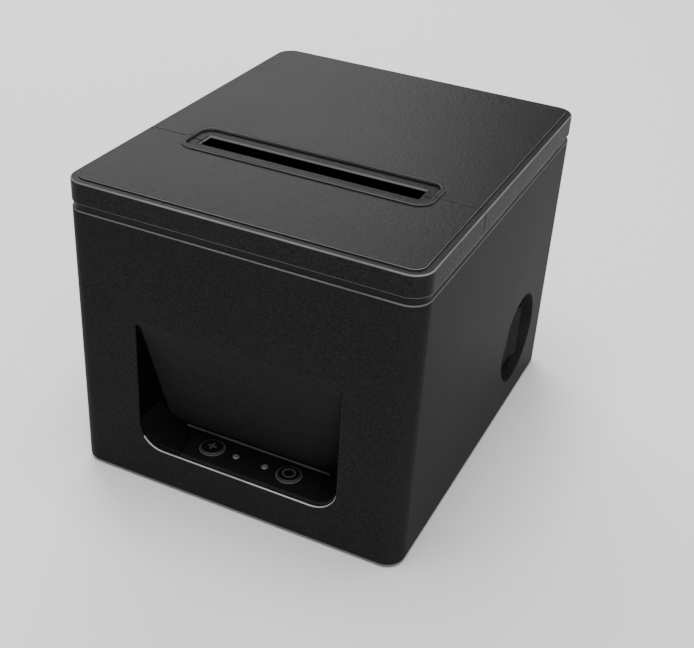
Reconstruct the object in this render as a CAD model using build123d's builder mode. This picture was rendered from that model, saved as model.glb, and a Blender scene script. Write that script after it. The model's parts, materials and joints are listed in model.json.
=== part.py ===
from build123d import *
from math import cos, pi, radians, sin
import os

# Receipt printer for 80 mm paper. Millimetres, +Z up, front at -Y.
# The origin is the centre of the footprint, on the surface the printer stands on.

# ---- Driving dimensions -------------------------------------------------------------
WIDTH = 128.0
DEPTH = 153.6
FRONT = -DEPTH / 2
REAR = DEPTH / 2
CORNER = 7.0
WALL = 2.5
FOOT_LIFT = 1.0
FLANGE_LOW = 96.0
CASE_TOP = 104.0
FRAME_TOP = 106.1
BAND_BOTTOM = 106.4
STRIP_TOP = 114.4
ROOF_TOP = 115.0
ROOF_UNDER = 112.2
BAND_WALL = 2.4
EDGE_STRIP = 2.6
SEAM_Y = FRONT + 50.2
SEAM_GAP = 0.5

SLOT_LENGTH = 82.6
SLOT_FRONT = FRONT + 47.6
SLOT_REAR = FRONT + 55.3
BEAD_LENGTH = 95.0
BEAD_WIDTH = 21.0
BEAD_RADIUS = 6.2
BEAD_THICK = 1.8
BEAD_RISE = 0.7
BEAD_Y = FRONT + 51.5

RECESS_X = 0.9
RECESS_WIDTH = 78.0
RECESS_BOTTOM = 15.8
RECESS_TOP = 68.2
RECESS_DEPTH = 17.5
RECESS_LOW_CORNER = 9.6
RECESS_HIGH_CORNER = 3.0
POCKET_WALL = 2.2
PANEL_RISE = 1.4
PANEL_BEAD = 0.6
CONTROL_X = 2.1
CONTROL_Y = FRONT + 9.0
BUTTON_PITCH = 31.0
LED_PITCH = 11.6
WELL_RADIUS = 4.75
CAP_RADIUS = 4.0
PIPE_RADIUS = 1.25

KEY_X = -46.8
KEY_Y = FRONT - 1.1
KEY_RADIUS = 25.1
KEY_GAP = 0.4
KEY_FRONT = FRONT + 1.3

DISH_Y = 39.0
DISH_Z = 30.4
DISH_RADIUS = 18.5
DISH_DEPTH = 4.5

HINGE_Y = 73.0
HINGE_Z = 109.6
EAR_RADIUS = 2.2
EAR_X = 50.0
EAR_WIDTH = 6.0
PIN_RADIUS = 1.25

PLATEN_Y = -17.0
PLATEN_Z = 91.0
PLATEN_RADIUS = 6.5
SHAFT_RADIUS = 3.0
CHEEK_IN = 43.0
CHEEK_OUT = 45.5
PLATE_IN = 46.2
PLATE_OUT = 47.7
GEAR_IN = 48.9
GEAR_OUT = 52.5

GEAR_MODULE = 0.75
PLATEN_TEETH = 18
IDLER_TEETH = 30
PINION_TEETH = 12
MESH_SLACK = 0.08
TRAIN_ANGLE = 210.0

HEAD_TILT = 15.0
HEAD_GAP = 0.3

LATCH_Y = -17.0
LATCH_Z = 77.0
LATCH_ARM = 9.5

BLADE_BOTTOM = 100.2
BLADE_TOP = 101.1
WHEEL_X = -11.0
WHEEL_Y = -50.0
RACK_TEETH = 16
WHEEL_TEETH = 20
WORM_CORE = 2.3
WORM_REACH = 3.0
WORM_Z = 91.5

BUCKET_Y = 28.0
BUCKET_Z = 62.0
BUCKET_RADIUS = 40.5
BUCKET_WALL = 1.5
BUCKET_HALF = 41.7
DECK_TOP = 101.0

BASE_THICK = 2.0
BASE_TOP = FOOT_LIFT + BASE_THICK
BOARD_Z = 8.0
BOARD_THICK = 1.6
BOARD_TOP = BOARD_Z + BOARD_THICK
PORT_FACE = REAR - 0.8

CENTER = Align.CENTER
LOW = Align.MIN
CORNER_ALIGN = (LOW, LOW, LOW)
UP_ALIGN = (CENTER, CENTER, LOW)

os.makedirs("parts", exist_ok=True)


# ---- Small helpers: each adds to the part block that calls it ------------------------
def slab(x0, x1, y0, y1, z0, z1, mode=Mode.ADD):
    """Box between two opposite corners."""
    with Locations((x0, y0, z0)):
        Box(x1 - x0, y1 - y0, z1 - z0, align=CORNER_ALIGN, mode=mode)


def pair_slab(x0, x1, y0, y1, z0, z1, mode=Mode.ADD):
    """The same box on the left and on the right."""
    slab(x0, x1, y0, y1, z0, z1, mode)
    slab(-x1, -x0, y0, y1, z0, z1, mode)


def rod_x(x0, x1, y, z, radius, mode=Mode.ADD):
    """Cylinder along X."""
    with BuildSketch(Plane.YZ.offset(x0)) as disc:
        with Locations((y, z)):
            Circle(radius)
    extrude(disc.sketch, amount=x1 - x0, mode=mode)


def rod_y(x, z, y0, y1, radius, mode=Mode.ADD):
    """Cylinder along Y."""
    with BuildSketch(Plane.XZ.offset(-y1)) as disc:
        with Locations((x, z)):
            Circle(radius)
    extrude(disc.sketch, amount=y1 - y0, mode=mode)


def rod_z(x, y, z0, z1, radius, mode=Mode.ADD):
    """Cylinder along Z."""
    with Locations((x, y, z0)):
        Cylinder(radius, z1 - z0, align=UP_ALIGN, mode=mode)


def plate_x(x0, x1, outline, mode=Mode.ADD):
    """Plate with its outline in the YZ plane."""
    with BuildSketch(Plane.YZ.offset(x0)) as profile:
        Polygon(*outline, align=None)
    extrude(profile.sketch, amount=x1 - x0, mode=mode)


def tooth():
    """One gear tooth, standing on the pitch circle, for the sketch that calls it."""
    step = pi * GEAR_MODULE
    foot = -0.9 * GEAR_MODULE
    tip = 0.6 * GEAR_MODULE
    wide = 0.3 * step
    narrow = 0.11 * step
    Polygon((foot, -wide), (tip, -narrow), (tip, narrow), (foot, wide), align=None)


def spur(plane, y, z, teeth, turn, width):
    """Spur gear on a plane, with one tooth at the given angle."""
    pitch = GEAR_MODULE * teeth / 2
    with BuildSketch(plane) as wheel:
        with Locations((y, z)):
            Circle(pitch - 0.8 * GEAR_MODULE)
            with PolarLocations(pitch, teeth, start_angle=turn):
                tooth()
    extrude(wheel.sketch, amount=width)


def screw_up(x, y, z, head, shank, length):
    """Pan-head screw driven upward, its head resting under the height z."""
    rod_z(x, y, z - 1.6, z, head)
    rod_z(x, y, z, z + length, shank)
    for size in ((2.6, 0.6), (0.6, 2.6)):
        with Locations((x, y, z - 1.6)):
            Box(size[0], size[1], 0.8, align=UP_ALIGN, mode=Mode.SUBTRACT)


def screw_down(x, y, z, head, shank, length):
    """Pan-head screw driven downward, its head resting on the height z."""
    rod_z(x, y, z, z + 1.6, head)
    rod_z(x, y, z - length, z, shank)
    for size in ((2.6, 0.6), (0.6, 2.6)):
        with Locations((x, y, z + 0.8)):
            Box(size[0], size[1], 0.9, align=UP_ALIGN, mode=Mode.SUBTRACT)


def recess_block(grow, lift=0.0, start=FRONT - 1):
    """The front recess as a solid, made larger by grow and raised by lift."""
    half = RECESS_WIDTH / 2 + grow
    low = RECESS_BOTTOM - grow + lift
    high = RECESS_TOP + grow
    back = FRONT + RECESS_DEPTH + grow
    front = max(start, FRONT + grow)
    drop = (high - low - 2) * (front - FRONT - grow) / RECESS_DEPTH
    with BuildPart() as block:
        with BuildSketch(Plane.XZ.offset(-FRONT - 40)) as face:
            with BuildLine():
                Polyline(
                    (RECESS_X - half, high),
                    (RECESS_X + half, high),
                    (RECESS_X + half, low),
                    (RECESS_X - half, low),
                    close=True,
                )
            make_face()
            fillet(face.vertices().group_by(Axis.Y)[0], RECESS_LOW_CORNER + grow)
            fillet(face.vertices().group_by(Axis.Y)[-1], RECESS_HIGH_CORNER)
        extrude(amount=42)
        with BuildSketch(Plane.YZ.offset(-WIDTH / 2)):
            Polygon(
                (start, high - drop),
                (front, high - drop),
                (back, low + 2),
                (back, low),
                (start, low),
                align=None,
            )
        extrude(amount=WIDTH, mode=Mode.INTERSECT)
    return block.part


def key_zone(inset):
    """Sector of a disc at the left end of the recess floor, in front of the sloped back."""
    low = RECESS_BOTTOM - 4.8
    high = RECESS_BOTTOM + RECESS_LOW_CORNER + 1.6 - inset
    back = FRONT + RECESS_DEPTH - inset
    slope = RECESS_DEPTH / (RECESS_TOP - RECESS_BOTTOM - 2)
    outline = [
        (KEY_FRONT + inset / 2, low),
        (back, low),
        (back, RECESS_BOTTOM + 2),
        (back - slope * (high - RECESS_BOTTOM - 2), high),
        (KEY_FRONT + inset / 2, high),
    ]
    with BuildPart() as zone:
        plate_x(RECESS_X - RECESS_WIDTH / 2 - 2.6 + inset, RECESS_X, outline)
        rod_z(KEY_X, KEY_Y, low, high, KEY_RADIUS - inset, Mode.INTERSECT)
    return zone.part


# ---- Main casing --------------------------------------------------------------------
BOSSES = [(x, y) for x in (-57.5, 57.5) for y in (-70.3, 70.3)]
PORTS_HALF = 46.0
PORTS_LOW = 6.0
PORTS_HIGH = 26.0
WINDOW_Y = 8.8
WINDOW_Z = 12.9
BUTTON_SPOTS = (CONTROL_X - BUTTON_PITCH / 2, CONTROL_X + BUTTON_PITCH / 2)
LED_SPOTS = (CONTROL_X - LED_PITCH / 2, CONTROL_X + LED_PITCH / 2)

with BuildPart() as main_casing:
    with BuildSketch(Plane.XY.offset(FOOT_LIFT)):
        RectangleRounded(WIDTH, DEPTH, CORNER)
    extrude(amount=CASE_TOP - FOOT_LIFT)
    fillet(main_casing.edges().group_by(Axis.Z)[-1], 0.35)
    fillet(main_casing.edges().group_by(Axis.Z)[0], 0.8)
    with BuildSketch(Plane.XY.offset(FOOT_LIFT)):
        RectangleRounded(WIDTH - 2 * WALL, DEPTH - 2 * WALL, CORNER - WALL)
    extrude(amount=CASE_TOP - FOOT_LIFT, mode=Mode.SUBTRACT)
    # bosses for the base screws
    for x, y in BOSSES:
        rod_z(x, y, BASE_TOP, 17, 4.2)
    for x, y in BOSSES:
        rod_z(x, y, BASE_TOP, 15.5, 1.5, Mode.SUBTRACT)
    # ledges that carry the mechanism frame
    pair_slab(56, WIDTH / 2 - WALL, -60, -50, 56, 60.5)
    pair_slab(56, WIDTH / 2 - WALL, -42, -32, 56, 60.5)
    # front recess: its walls, then its hollow
    add(recess_block(POCKET_WALL, 0, FRONT + 0.5))
    add(recess_block(0), mode=Mode.SUBTRACT)
    add(key_zone(0), mode=Mode.SUBTRACT)
    for x in BUTTON_SPOTS:
        rod_z(x, CONTROL_Y, 12, RECESS_BOTTOM + 1, 2.6, Mode.SUBTRACT)
    for x in LED_SPOTS:
        rod_z(x, CONTROL_Y, 12, RECESS_BOTTOM + 1, 1.7, Mode.SUBTRACT)
    # soft edge around the recess, below its top corners
    rim = main_casing.edges().filter_by_position(Axis.Y, FRONT - 0.01, FRONT + 0.01)
    rim = rim.filter_by_position(Axis.Z, RECESS_BOTTOM - 1, RECESS_TOP - RECESS_HIGH_CORNER)
    fillet(rim.filter_by_position(Axis.X, -50, 50), 0.5)
    # round dish for the power switch
    rod_x(WIDTH / 2 - DISH_DEPTH - WALL, WIDTH / 2 - 1, DISH_Y, DISH_Z, DISH_RADIUS + 2)
    with BuildSketch(Plane.YZ.offset(WIDTH / 2)):
        with Locations((DISH_Y, DISH_Z)):
            Circle(DISH_RADIUS)
    extrude(amount=-DISH_DEPTH, taper=22, mode=Mode.SUBTRACT)
    with Locations((WIDTH / 2 - DISH_DEPTH, DISH_Y, DISH_Z)):
        Box(14, 2 * WINDOW_Y, 2 * WINDOW_Z, mode=Mode.SUBTRACT)
    # opening for the rear port panel
    slab(-PORTS_HALF, PORTS_HALF, REAR - 5, REAR + 1, PORTS_LOW, PORTS_HIGH, Mode.SUBTRACT)
    slab(-PORTS_HALF - 2, PORTS_HALF + 2, REAR - 4.5, REAR - WALL, PORTS_LOW + 1, PORTS_HIGH + 2)
    slab(-PORTS_HALF + 1, PORTS_HALF - 1, REAR - 5, REAR - 1, PORTS_LOW + 2, PORTS_HIGH - 1, Mode.SUBTRACT)
main_casing.part.label = "main_casing"
export_step(main_casing.part, "parts/main_casing.step")

# ---- Base plate, feet and base screws -----------------------------------------------
FEET = [(x, y) for x in (-48, 48) for y in (-60, 60)]
BOARD_POSTS = [(x, y) for x in (-44, 44) for y in (-24, 54)]
PANEL_POSTS = [(x, CONTROL_Y + y) for x in (-20, 30) for y in (-4, 6)]
BUTTON_BOARD_Z = 5.5

with BuildPart() as base_plate:
    with BuildSketch(Plane.XY.offset(FOOT_LIFT)):
        RectangleRounded(WIDTH - 2 * WALL - 0.6, DEPTH - 2 * WALL - 0.6, CORNER - WALL - 0.3)
    extrude(amount=BASE_THICK)
    for x, y in FEET:
        rod_z(x, y, FOOT_LIFT, FOOT_LIFT + 0.6, 6.1, Mode.SUBTRACT)
    for x, y in BOSSES:
        rod_z(x, y, FOOT_LIFT, BASE_TOP, 1.7, Mode.SUBTRACT)
        rod_z(x, y, FOOT_LIFT, FOOT_LIFT + 1.0, 3.1, Mode.SUBTRACT)
    for x, y in BOARD_POSTS:
        rod_z(x, y, BASE_TOP, BOARD_Z, 3.2)
        rod_z(x, y, BASE_TOP, BOARD_Z, 1.25, Mode.SUBTRACT)
    for x, y in PANEL_POSTS:
        rod_z(x, y, BASE_TOP, BUTTON_BOARD_Z, 1.8)
    # cooling slots
    for x in range(-20, 21, 8):
        slab(x - 1.25, x + 1.25, -48, -34, 0, 5, Mode.SUBTRACT)
base_plate.part.label = "base_plate"
export_step(base_plate.part, "parts/base_plate.step")

with BuildPart() as rubber_feet:
    for x, y in FEET:
        rod_z(x, y, 0, FOOT_LIFT + 0.55, 6.0)
    chamfer(rubber_feet.edges().group_by(Axis.Z)[0], 0.4)
rubber_feet.part.label = "rubber_feet"
export_step(rubber_feet.part, "parts/rubber_feet.step")

with BuildPart() as base_screws:
    for x, y in BOSSES:
        rod_z(x, y, FOOT_LIFT + 0.1, FOOT_LIFT + 0.95, 2.9)
        rod_z(x, y, FOOT_LIFT + 0.95, 14, 1.4)
        for size in ((2.6, 0.6), (0.6, 2.6)):
            with Locations((x, y, FOOT_LIFT)):
                Box(size[0], size[1], 0.6, align=UP_ALIGN, mode=Mode.SUBTRACT)
base_screws.part.label = "base_screws"
export_step(base_screws.part, "parts/base_screws.step")

# ---- Top frame: the lip under both covers, with the hinge ears -----------------------
FRAME_INSET = 0.5
FLANGE_WIDTH = WIDTH - 2 * WALL - 0.4
FLANGE_DEPTH = DEPTH - 2 * WALL - 0.4
INNER_WIDTH = 118.6
INNER_DEPTH = 144.2
TAB_ROWS = (-64, -38)
COVER_TABS = [(x, y) for x in (-53, 53) for y in TAB_ROWS]

with BuildPart() as top_frame:
    with BuildSketch(Plane.XY.offset(CASE_TOP)):
        RectangleRounded(WIDTH - 2 * FRAME_INSET, DEPTH - 2 * FRAME_INSET, CORNER - FRAME_INSET)
    extrude(amount=FRAME_TOP - CASE_TOP)
    with BuildSketch(Plane.XY.offset(FLANGE_LOW)):
        RectangleRounded(FLANGE_WIDTH, FLANGE_DEPTH, CORNER - WALL)
    extrude(amount=CASE_TOP - FLANGE_LOW)
    with BuildSketch(Plane.XY.offset(FLANGE_LOW)):
        RectangleRounded(INNER_WIDTH, INNER_DEPTH, 3)
    extrude(amount=ROOF_TOP - FLANGE_LOW, mode=Mode.SUBTRACT)
    # the lid's rear edge swings through here
    slab(-70, 70, 69, 80, 103.7, 108, Mode.SUBTRACT)
    for y in TAB_ROWS:
        pair_slab(48.5, 60.4, y - 5, y + 5, CASE_TOP, FRAME_TOP)
    for x, y in COVER_TABS:
        rod_z(x, y, CASE_TOP, FRAME_TOP, 1.7, Mode.SUBTRACT)
    for x in (-EAR_X, EAR_X):
        rod_x(x - EAR_WIDTH / 2, x + EAR_WIDTH / 2, HINGE_Y, HINGE_Z, EAR_RADIUS)
        slab(x - EAR_WIDTH / 2, x + EAR_WIDTH / 2, HINGE_Y - 2.2, HINGE_Y + 1.1, 98, HINGE_Z)
        rod_x(x - EAR_WIDTH / 2, x + EAR_WIDTH / 2, HINGE_Y, HINGE_Z, PIN_RADIUS, Mode.SUBTRACT)
top_frame.part.label = "top_frame"
export_step(top_frame.part, "parts/top_frame.step")

# ---- Both top covers as one shell, before the seam is cut ----------------------------
with BuildPart() as top_shell:
    with BuildSketch(Plane.XY.offset(BAND_BOTTOM)):
        RectangleRounded(WIDTH, DEPTH, CORNER)
    extrude(amount=STRIP_TOP - BAND_BOTTOM)
    fillet(top_shell.edges().group_by(Axis.Z)[-1], 0.8)
    fillet(top_shell.edges().group_by(Axis.Z)[0], 0.3)
    with BuildSketch(Plane.XY.offset(STRIP_TOP)):
        RectangleRounded(WIDTH - 2 * EDGE_STRIP, DEPTH - 2 * EDGE_STRIP, CORNER - EDGE_STRIP)
    extrude(amount=ROOF_TOP - STRIP_TOP)
    fillet(top_shell.edges().group_by(Axis.Z)[-1], 0.3)
    with BuildSketch(Plane.XY.offset(BAND_BOTTOM)):
        RectangleRounded(WIDTH - 2 * BAND_WALL, DEPTH - 2 * BAND_WALL, CORNER - BAND_WALL)
    extrude(amount=ROOF_UNDER - BAND_BOTTOM, mode=Mode.SUBTRACT)
    # raised bead and the sunk floor inside it
    with BuildSketch(Plane.XY.offset(ROOF_TOP)):
        with Locations((0, BEAD_Y)):
            RectangleRounded(BEAD_LENGTH, BEAD_WIDTH, BEAD_RADIUS)
            RectangleRounded(
                BEAD_LENGTH - 2 * BEAD_THICK,
                BEAD_WIDTH - 2 * BEAD_THICK,
                BEAD_RADIUS - BEAD_THICK,
                mode=Mode.SUBTRACT,
            )
    extrude(amount=BEAD_RISE)
    fillet(top_shell.edges().group_by(Axis.Z)[-1], 0.55)
    with BuildSketch(Plane.XY.offset(ROOF_TOP - 0.4)):
        with Locations((0, BEAD_Y)):
            RectangleRounded(
                BEAD_LENGTH - 2 * BEAD_THICK,
                BEAD_WIDTH - 2 * BEAD_THICK,
                BEAD_RADIUS - BEAD_THICK,
            )
    extrude(amount=0.4, mode=Mode.SUBTRACT)
    # throat of the paper slot: walls below the roof, then the opening with its bevel
    throat = SLOT_LENGTH / 2
    slab(-throat - 1.5, throat + 1.5, SLOT_FRONT - 1.6, SLOT_REAR + 1.5, BAND_BOTTOM, ROOF_UNDER)
    slab(-throat, throat, SLOT_FRONT, SLOT_REAR, BAND_BOTTOM - 1, ROOF_TOP + 1, Mode.SUBTRACT)
    with BuildSketch(Plane.XY.offset(ROOF_TOP - 1.2)):
        with Locations((0, (SLOT_FRONT + SLOT_REAR) / 2)):
            Rectangle(SLOT_LENGTH, SLOT_REAR - SLOT_FRONT)
    extrude(amount=0.9, taper=-40, mode=Mode.SUBTRACT)

with BuildPart() as front_top_cover:
    add(top_shell.part)
    split(bisect_by=Plane.XZ.offset(-SEAM_Y + SEAM_GAP / 2), keep=Keep.TOP)
    for x, y in COVER_TABS:
        rod_z(x, y, FRAME_TOP + 0.1, ROOF_UNDER, 3.6)
        rod_z(x, y, FRAME_TOP + 0.1, ROOF_UNDER + 0.8, 1.25, Mode.SUBTRACT)
front_top_cover.part.label = "front_top_cover"
export_step(front_top_cover.part, "parts/front_top_cover.step")

with BuildPart() as cover_screws:
    for x, y in COVER_TABS:
        screw_up(x, y, CASE_TOP, 2.7, 1.2, 7.5)
cover_screws.part.label = "cover_screws"
export_step(cover_screws.part, "parts/cover_screws.step")

# ---- Lid ----------------------------------------------------------------------------
LID_BOSSES = [(x, y) for x in (-52, 52) for y in (-4, 54)]
LINER_LOW = 108.4
LINER_TOP = 110.4

with BuildPart() as lid_cover:
    add(top_shell.part)
    split(bisect_by=Plane.XZ.offset(-SEAM_Y - SEAM_GAP / 2), keep=Keep.BOTTOM)
    for x in (-EAR_X, EAR_X):
        slab(x - 7.2, x + 7.2, 70, REAR + 1, BAND_BOTTOM - 1, ROOF_UNDER, Mode.SUBTRACT)
    for x, y in LID_BOSSES:
        rod_z(x, y, LINER_TOP, ROOF_UNDER, 3.6)
        rod_z(x, y, LINER_TOP, ROOF_UNDER + 0.8, 1.25, Mode.SUBTRACT)
lid_cover.part.label = "lid_cover"
export_step(lid_cover.part, "parts/lid_cover.step")

CHEEK = [
    (PLATEN_Y - 7, PLATEN_Z),
    (PLATEN_Y - 5, PLATEN_Z + 15),
    (PLATEN_Y - 5, LINER_TOP),
    (PLATEN_Y + 10, LINER_TOP),
    (PLATEN_Y + 7, PLATEN_Z + 2),
    (PLATEN_Y + 7, PLATEN_Z),
]

with BuildPart() as lid_liner:
    slab(-57, 57, PLATEN_Y + 8, 66, LINER_LOW, LINER_TOP)
    for x in (-42, 42):
        slab(x - 0.8, x + 0.8, 10, 62, LINER_LOW - 2.4, LINER_LOW)
    slab(-40, 40, 30, 31.6, LINER_LOW - 2.4, LINER_LOW)
    # cheeks that hold the platen
    for x0, x1 in ((CHEEK_IN, CHEEK_OUT), (-CHEEK_OUT, -CHEEK_IN)):
        rod_x(x0, x1, PLATEN_Y, PLATEN_Z, 7.0)
        plate_x(x0, x1, CHEEK)
        rod_x(x0, x1, PLATEN_Y, PLATEN_Z, 4.5, Mode.SUBTRACT)
    # hinge knuckles on both sides of each ear
    for side in (-1, 1):
        for x in (EAR_X - 5.05, EAR_X + 5.05):
            rod_x(side * x - 1.75, side * x + 1.75, HINGE_Y, HINGE_Z, 1.9)
            slab(side * x - 1.75, side * x + 1.75, 64, HINGE_Y, LINER_LOW, LINER_TOP)
            rod_x(side * x - 1.75, side * x + 1.75, HINGE_Y, HINGE_Z, PIN_RADIUS + 0.05, Mode.SUBTRACT)
    for x, y in LID_BOSSES:
        rod_z(x, y, LINER_LOW, LINER_TOP, 1.5, Mode.SUBTRACT)
lid_liner.part.label = "lid_liner"
export_step(lid_liner.part, "parts/lid_liner.step")

with BuildPart() as lid_screws:
    for x, y in LID_BOSSES:
        screw_up(x, y, LINER_LOW, 2.7, 1.2, 4.3)
lid_screws.part.label = "lid_screws"
export_step(lid_screws.part, "parts/lid_screws.step")

with BuildPart() as hinge_pins:
    for side in (-1, 1):
        rod_x(side * EAR_X - 6.8, side * EAR_X + 6.8, HINGE_Y, HINGE_Z, PIN_RADIUS)
hinge_pins.part.label = "hinge_pins"
export_step(hinge_pins.part, "parts/hinge_pins.step")

# ---- Platen -------------------------------------------------------------------------
with BuildPart() as platen_shaft:
    rod_x(-51.5, 55.6, PLATEN_Y, PLATEN_Z, SHAFT_RADIUS)
    chamfer(platen_shaft.edges().filter_by(GeomType.CIRCLE), 0.4)
platen_shaft.part.label = "platen_shaft"
export_step(platen_shaft.part, "parts/platen_shaft.step")

with BuildPart() as platen_rubber:
    rod_x(-40.5, 40.5, PLATEN_Y, PLATEN_Z, PLATEN_RADIUS)
    chamfer(platen_rubber.edges().filter_by(GeomType.CIRCLE), 0.3)
    rod_x(-40.5, 40.5, PLATEN_Y, PLATEN_Z, SHAFT_RADIUS, Mode.SUBTRACT)
platen_rubber.part.label = "platen_rubber"
export_step(platen_rubber.part, "parts/platen_rubber.step")

with BuildPart() as platen_bearings:
    for x0, x1 in ((CHEEK_IN, CHEEK_OUT), (-CHEEK_OUT, -CHEEK_IN)):
        rod_x(x0, x1, PLATEN_Y, PLATEN_Z, 4.45)
    for x0, x1 in ((CHEEK_IN - 1.2, CHEEK_IN), (-CHEEK_IN, 1.2 - CHEEK_IN)):
        rod_x(x0, x1, PLATEN_Y, PLATEN_Z, 5.6)
    rod_x(-60, 60, PLATEN_Y, PLATEN_Z, SHAFT_RADIUS + 0.05, Mode.SUBTRACT)
platen_bearings.part.label = "platen_bearings"
export_step(platen_bearings.part, "parts/platen_bearings.step")

with BuildPart() as platen_gear:
    spur(Plane.YZ.offset(GEAR_IN), PLATEN_Y, PLATEN_Z, PLATEN_TEETH, TRAIN_ANGLE, GEAR_OUT - GEAR_IN)
    rod_x(GEAR_IN, GEAR_OUT, PLATEN_Y, PLATEN_Z, SHAFT_RADIUS, Mode.SUBTRACT)
platen_gear.part.label = "platen_gear"
export_step(platen_gear.part, "parts/platen_gear.step")

# ---- Fixed blade of the cutter, carried by the lid -----------------------------------
with BuildPart() as blade_holder:
    slab(-CHEEK_IN + 0.1, CHEEK_IN - 0.1, PLATEN_Y - 5.2, PLATEN_Y + 1, 102.4, 106)
    slab(-38, 38, PLATEN_Y - 3, PLATEN_Y - 1, 102.4, 105.2, Mode.SUBTRACT)
blade_holder.part.label = "blade_holder"
export_step(blade_holder.part, "parts/blade_holder.step")

with BuildPart() as fixed_blade:
    slab(-42, 42, PLATEN_Y - 6.4, PLATEN_Y + 2, 101.4, 102.4)
    front_edges = fixed_blade.edges().filter_by(Axis.X).group_by(Axis.Y)[0]
    chamfer(front_edges.sort_by(Axis.Z)[-1], 0.7, 0.9)
fixed_blade.part.label = "fixed_blade"
export_step(fixed_blade.part, "parts/fixed_blade.step")

# ---- Gear train ---------------------------------------------------------------------
train_cos = cos(radians(TRAIN_ANGLE))
train_sin = sin(radians(TRAIN_ANGLE))
idler_reach = GEAR_MODULE * (PLATEN_TEETH + IDLER_TEETH) / 2 + MESH_SLACK
motor_reach = idler_reach + GEAR_MODULE * (IDLER_TEETH + PINION_TEETH) / 2 + MESH_SLACK
IDLER_Y = PLATEN_Y + idler_reach * train_cos
IDLER_Z = PLATEN_Z + idler_reach * train_sin
MOTOR_Y = PLATEN_Y + motor_reach * train_cos
MOTOR_Z = PLATEN_Z + motor_reach * train_sin

with BuildPart() as idler_gear:
    spur(Plane.YZ.offset(GEAR_IN), IDLER_Y, IDLER_Z, IDLER_TEETH, TRAIN_ANGLE + 180 / IDLER_TEETH, 3.6)
    rod_x(GEAR_IN + 2.4, GEAR_OUT, IDLER_Y, IDLER_Z, 9.0, Mode.SUBTRACT)
    rod_x(GEAR_IN, GEAR_OUT, IDLER_Y, IDLER_Z, 3.0)
    rod_x(GEAR_IN, GEAR_OUT, IDLER_Y, IDLER_Z, 1.55, Mode.SUBTRACT)
idler_gear.part.label = "idler_gear"
export_step(idler_gear.part, "parts/idler_gear.step")

with BuildPart() as idler_axle:
    rod_x(PLATE_IN, GEAR_OUT + 0.9, IDLER_Y, IDLER_Z, 1.5)
    rod_x(GEAR_OUT + 0.3, GEAR_OUT + 0.9, IDLER_Y, IDLER_Z, 2.6)
idler_axle.part.label = "idler_axle"
export_step(idler_axle.part, "parts/idler_axle.step")

with BuildPart() as stepper_motor:
    rod_x(26, PLATE_IN - 1, MOTOR_Y, MOTOR_Z, 10.5)
    fillet(stepper_motor.edges().filter_by(GeomType.CIRCLE).sort_by(Axis.X)[0], 1.2)
    slab(PLATE_IN - 1, PLATE_IN, MOTOR_Y - 14.5, MOTOR_Y + 14.5, MOTOR_Z - 4, MOTOR_Z + 4)
    rod_x(PLATE_IN - 1, PLATE_IN, MOTOR_Y, MOTOR_Z, 10.5)
    rod_x(PLATE_IN, PLATE_OUT, MOTOR_Y, MOTOR_Z, 4.0)
    rod_x(40, 60, MOTOR_Y, MOTOR_Z, 1.05, Mode.SUBTRACT)
    slab(30, 40, MOTOR_Y - 13, MOTOR_Y - 9, MOTOR_Z - 3, MOTOR_Z + 3)
stepper_motor.part.label = "stepper_motor"
export_step(stepper_motor.part, "parts/stepper_motor.step")

with BuildPart() as motor_pinion:
    spur(Plane.YZ.offset(GEAR_IN), MOTOR_Y, MOTOR_Z, PINION_TEETH, TRAIN_ANGLE + 180, GEAR_OUT - GEAR_IN)
    rod_x(40.3, GEAR_OUT + 0.5, MOTOR_Y, MOTOR_Z, 1.0)
motor_pinion.part.label = "motor_pinion"
export_step(motor_pinion.part, "parts/motor_pinion.step")

# ---- Print head: built on a plane that leans forward at the top -----------------------
tilt_cos = cos(radians(HEAD_TILT))
tilt_sin = sin(radians(HEAD_TILT))
NIP_Y = PLATEN_Y - PLATEN_RADIUS * tilt_cos
NIP_Z = PLATEN_Z - PLATEN_RADIUS * tilt_sin
HEAD_PLANE = Plane(origin=(0, NIP_Y, NIP_Z), x_dir=(1, 0, 0), z_dir=(0, -tilt_cos, -tilt_sin))
PIVOT_UP = -8.0
PIVOT_BACK = 9.0
PIVOT_Y = NIP_Y - PIVOT_UP * tilt_sin - PIVOT_BACK * tilt_cos
PIVOT_Z = NIP_Z + PIVOT_UP * tilt_cos - PIVOT_BACK * tilt_sin
SINK_BACK = 6.3
SPRING_GAP = 0.4
BRACE_BACK = 17.0
SPRING_X = 18.0


def head_slab(x0, x1, y0, y1, z0, z1, mode=Mode.ADD):
    """Box on the head plane: y runs up the head, z runs away from the platen."""
    with BuildSketch(HEAD_PLANE.offset(z0)) as face:
        with Locations(((x0 + x1) / 2, (y0 + y1) / 2)):
            Rectangle(x1 - x0, y1 - y0)
    extrude(face.sketch, amount=z1 - z0, mode=mode)


with BuildPart() as head_substrate:
    head_slab(-41.5, 41.5, -6, 5, HEAD_GAP + 0.2, HEAD_GAP + 1.0)
    head_slab(-40, 40, -0.5, 0.5, HEAD_GAP, HEAD_GAP + 0.2)
head_substrate.part.label = "head_substrate"
export_step(head_substrate.part, "parts/head_substrate.step")

with BuildPart() as head_heatsink:
    head_slab(-42.5, 42.5, -9, 6.5, HEAD_GAP + 1.0, 3.3)
    for row in (-5.5, -2.5, 0.5, 5.5):
        head_slab(-42.5, 42.5, row - 0.6, row + 0.6, 3.3, SINK_BACK)
    for x in (-SPRING_X, SPRING_X):
        head_slab(x - 5, x + 5, -6, 6.5, 3.3, SINK_BACK)
    for x in (-38, 38):
        head_slab(x - 2, x + 2, -9.5, -5, 3.3, PIVOT_BACK + 1)
        rod_x(x - 2, x + 2, PIVOT_Y, PIVOT_Z, 2.8)
        rod_x(x - 2, x + 2, PIVOT_Y, PIVOT_Z, 1.55, Mode.SUBTRACT)
head_heatsink.part.label = "head_heatsink"
export_step(head_heatsink.part, "parts/head_heatsink.step")

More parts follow.
